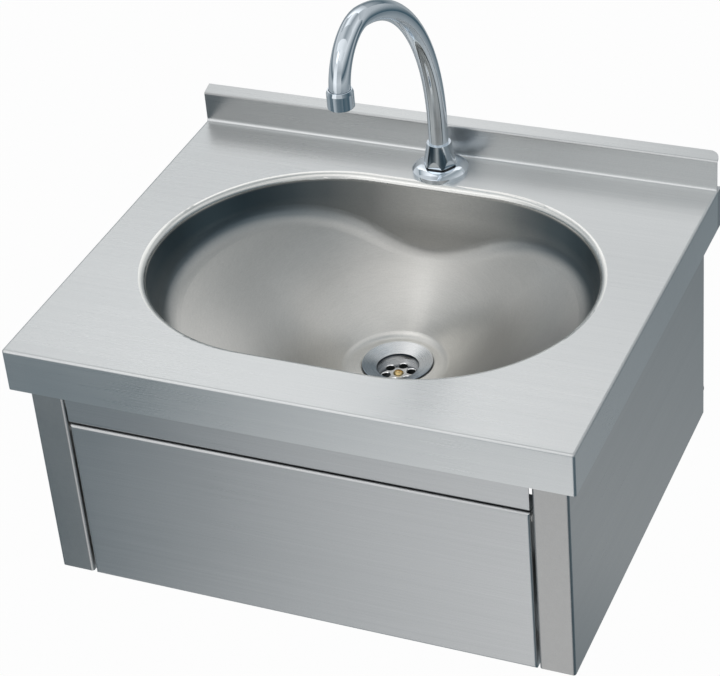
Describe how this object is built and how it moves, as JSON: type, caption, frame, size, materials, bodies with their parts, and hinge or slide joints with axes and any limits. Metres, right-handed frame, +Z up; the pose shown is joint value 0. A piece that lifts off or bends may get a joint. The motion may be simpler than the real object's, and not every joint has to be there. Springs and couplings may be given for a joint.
{
  "type": "knee-operated wall-hung hand wash basin",
  "caption": "Wall-hung stainless steel hand wash basin with an oval drawn bowl, a swivelling swan-neck spout and a knee-operated front panel.",
  "frame": {"origin": "on the wall plane, midway between the two wall fixing holes", "axes": "+X to the right seen from the front, +Y to the wall, +Z up"},
  "size_m": [0.5, 0.41, 0.4777],
  "materials": {
    "sheet_steel": "fine brushed stainless sheet",
    "bowl_steel": "drawn and satin polished stainless",
    "apron_steel": "brushed stainless sheet with protective satin",
    "bracket_steel": "mill finish stainless",
    "tap_chrome": "polished chrome plate",
    "waste_steel": "polished stainless pressing",
    "brass": "turned brass",
    "spring_steel": "bright spring wire",
    "black_rubber": "matt black rubber",
    "white_plastic": "white moulded plastic",
    "black_plastic": "black moulded plastic",
    "pin_steel": "bright turned steel"
  },
  "bodies": {
    "shell": {"worktop": "sheet_steel", "basin_bowl": "bowl_steel", "side_panel_right": "apron_steel", "side_panel_left": "apron_steel", "front_rail": "apron_steel", "rear_rail": "bracket_steel", "valve_crossbar": "bracket_steel", "wall_buffers": "black_rubber", "pivot_pins": "pin_steel", "valve_body": "brass", "valve_locknut": "brass", "valve_spring": "spring_steel", "inlet_unions": "brass", "feed_pipe": "tap_chrome", "feed_nuts": "tap_chrome", "waste_flange": "waste_steel", "waste_flange_seal": "black_rubber", "waste_body_seal": "black_rubber", "waste_body": "white_plastic", "waste_screw": "brass", "tap_base": "tap_chrome", "tap_deck_seal": "black_rubber", "tap_clamp_washer": "pin_steel", "tap_backnut": "brass", "tap_ring_seal": "black_rubber", "swivel_nut": "tap_chrome"},
    "spout_arm": {"spout_tube": "tap_chrome", "aerator_housing": "tap_chrome", "aerator_insert": "black_plastic"},
    "knee_flap": {"knee_panel": "apron_steel", "striker_pad": "black_rubber", "pivot_bushes": "white_plastic"},
    "plunger": {"valve_plunger": "pin_steel"}
  },
  "joints": [
    {"name": "spout_swivel", "type": "hinge", "parent": "shell", "child": "spout_arm", "pos_m": [0, -0.041, 0.021], "axis": [0, 0, 1], "range_deg": [-75, 75]},
    {"name": "knee_panel_hinge", "type": "hinge", "parent": "shell", "child": "knee_flap", "pos_m": [0, -0.3881, -0.0657], "axis": [1, 0, 0], "range_deg": [0, 4.2]},
    {"name": "plunger_slide", "type": "slide", "parent": "shell", "child": "plunger", "axis": [0, 1, 0], "range_m": [0, 0.008], "stiffness_N_per_m": 400, "springref_m": -0.01, "deforming": ["valve_spring"]}
  ],
  "couplings": [
    {"joint": "plunger_slide", "follows": "knee_panel_hinge", "m_per_rad": 0.1033}
  ]
}
